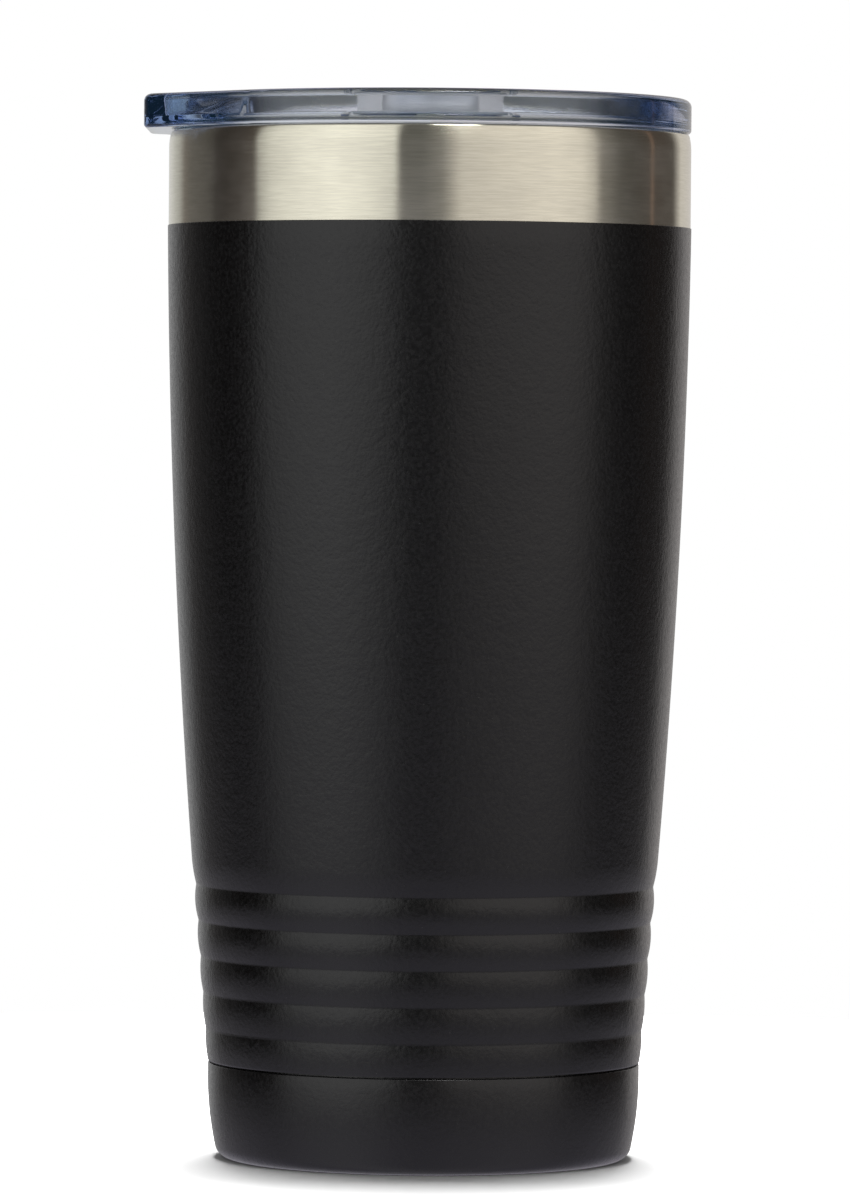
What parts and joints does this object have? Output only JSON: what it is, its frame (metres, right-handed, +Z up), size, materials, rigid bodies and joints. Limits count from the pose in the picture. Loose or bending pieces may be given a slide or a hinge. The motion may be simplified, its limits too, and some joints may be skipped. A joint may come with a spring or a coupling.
{
  "type": "insulated tumbler with lid",
  "caption": "Double-wall vacuum tumbler with a ringed powder-coated steel body, and a push-on clear lid with a thumb tab and a sliding drink cover.",
  "frame": {"origin": "centre of the base, on the table", "axes": "+Z up along the tumbler's axis, -Y towards the drinking opening, the thumb tab on -X"},
  "size_m": [0.0896, 0.086, 0.1741],
  "materials": {
    "steel": "brushed round the wall",
    "black_coat": "orange-peel powder coat",
    "black_base": "satin coat",
    "copper_foil": "bright foil",
    "solder_glass": "fused",
    "getter_metal": "sintered",
    "clear_plastic": "clear, slightly blue",
    "silicone": "translucent satin",
    "clear_slider": "clear, slightly blue"
  },
  "bodies": {
    "cup": {"outer_shell": "steel", "powder_coat": "black_coat", "base_cap": "black_base", "inner_liner": "steel", "inner_bottom": "steel", "foil_wrap": "copper_foil", "outer_bottom": "steel", "port_seal": "solder_glass", "getter": "getter_metal", "getter_clip": "steel"},
    "seal": {"lid_gasket": "silicone"},
    "lid": {"lid_body": "clear_plastic"},
    "drink_cover": {"slider": "clear_slider"}
  },
  "joints": [
    {"name": "lid_lift", "type": "slide", "parent": "cup", "child": "seal", "axis": [0, 0, 1], "range_m": [0, 0.04]},
    {"name": "lid_turn", "type": "hinge", "parent": "seal", "child": "lid", "pos_m": [0, 0, 0.1685], "axis": [0, 0, 1], "continuous": true},
    {"name": "slider_slide", "type": "slide", "parent": "lid", "child": "drink_cover", "axis": [0, -1, 0], "range_m": [0, 0.014]}
  ]
}
